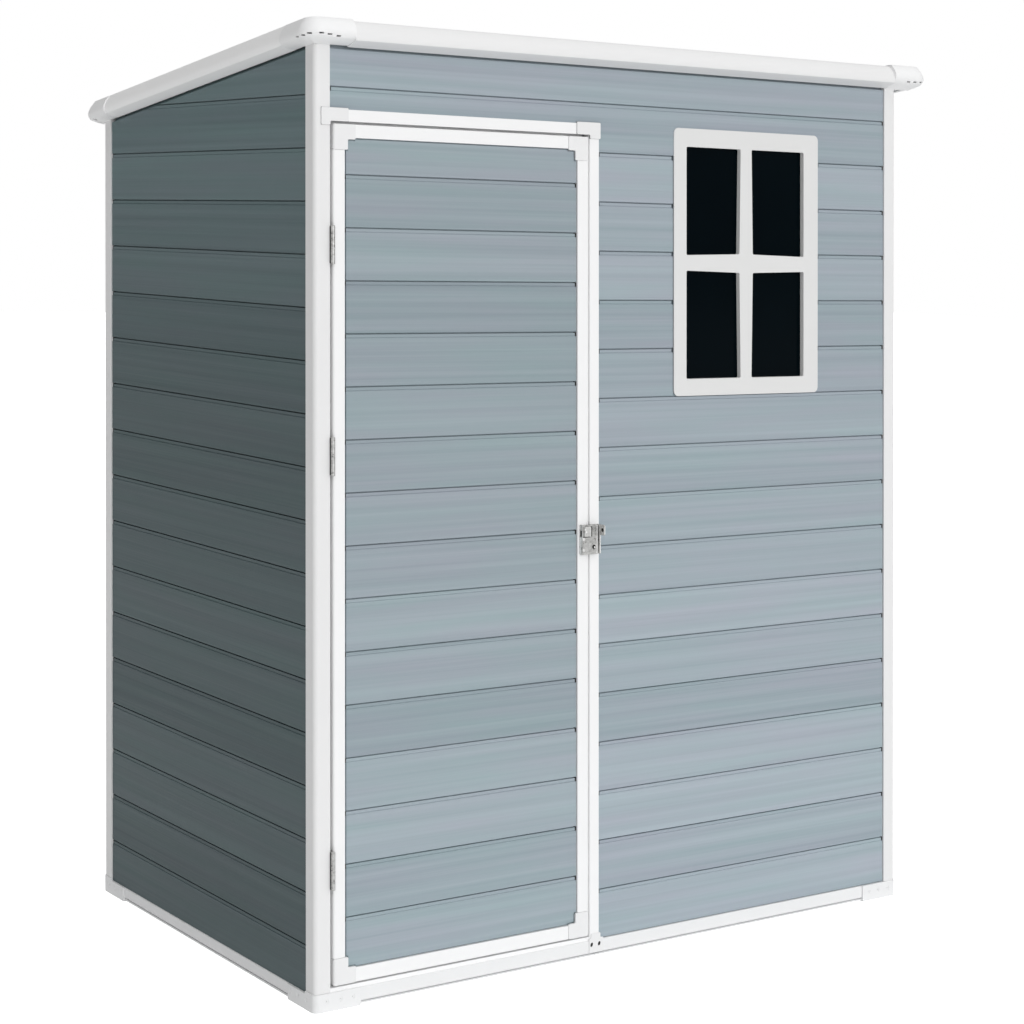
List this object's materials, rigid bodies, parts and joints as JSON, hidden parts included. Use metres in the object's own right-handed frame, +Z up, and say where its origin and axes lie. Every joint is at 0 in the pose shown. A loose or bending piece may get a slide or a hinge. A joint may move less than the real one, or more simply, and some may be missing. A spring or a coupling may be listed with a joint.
{
  "type": "resin storage shed with a pent roof",
  "caption": "Small resin garden shed of horizontal siding boards between white corner posts, with a sloping roof, a hinged door and a fixed window.",
  "frame": {"origin": "on the ground at the middle of the footprint", "axes": "+X runs right along the front, +Y runs from the front to the back, +Z is up"},
  "size_m": [1.639, 1.01, 1.896],
  "materials": {
    "siding_front": "embossed grain, satin",
    "siding_side": "embossed grain, satin",
    "trim": "smooth satin",
    "floor": "matte",
    "window_sheet": "dark tint, glossy",
    "steel": "stainless, satin"
  },
  "bodies": {
    "root": {"floor_panel": "floor", "base_sill": "trim", "base_rail_front": "trim", "base_rail_left": "trim", "base_rail_right": "trim", "base_rail_back": "trim", "base_corner_front_left": "trim", "base_corner_front_right": "trim", "base_corner_back_left": "trim", "base_corner_back_right": "trim", "post_front_left": "trim", "post_front_right": "trim", "post_back_left": "trim", "post_back_right": "trim", "wall_left": "siding_side", "wall_right": "siding_side", "wall_back": "siding_side", "wall_front_top": "siding_front", "wall_front_middle": "siding_front", "wall_front_right": "siding_front", "wall_under_window": "siding_front", "door_header": "trim", "door_jamb": "trim", "frame_brackets": "trim", "window_frame": "trim", "window_glass": "window_sheet", "roof_panel": "siding_side", "roof_edge_front": "trim", "roof_edge_back": "trim", "roof_edge_left": "trim", "roof_edge_right": "trim", "roof_cap_front_left": "trim", "roof_cap_front_right": "trim", "roof_cap_back_left": "trim", "roof_cap_back_right": "trim", "hinges_on_post": "steel", "latch_keeper": "steel"},
    "door": {"door_panel": "siding_front", "door_stile_hinge": "trim", "door_stile_latch": "trim", "door_rail_top": "trim", "door_rail_bottom": "trim", "door_corner_joints": "trim", "hinges_on_door": "steel", "latch_hasp": "steel"}
  },
  "joints": [
    {"name": "door_hinge", "type": "hinge", "parent": "root", "child": "door", "pos_m": [-0.725, -0.473, 0.85], "axis": [0, 0, -1], "range_deg": [0, 170]}
  ]
}
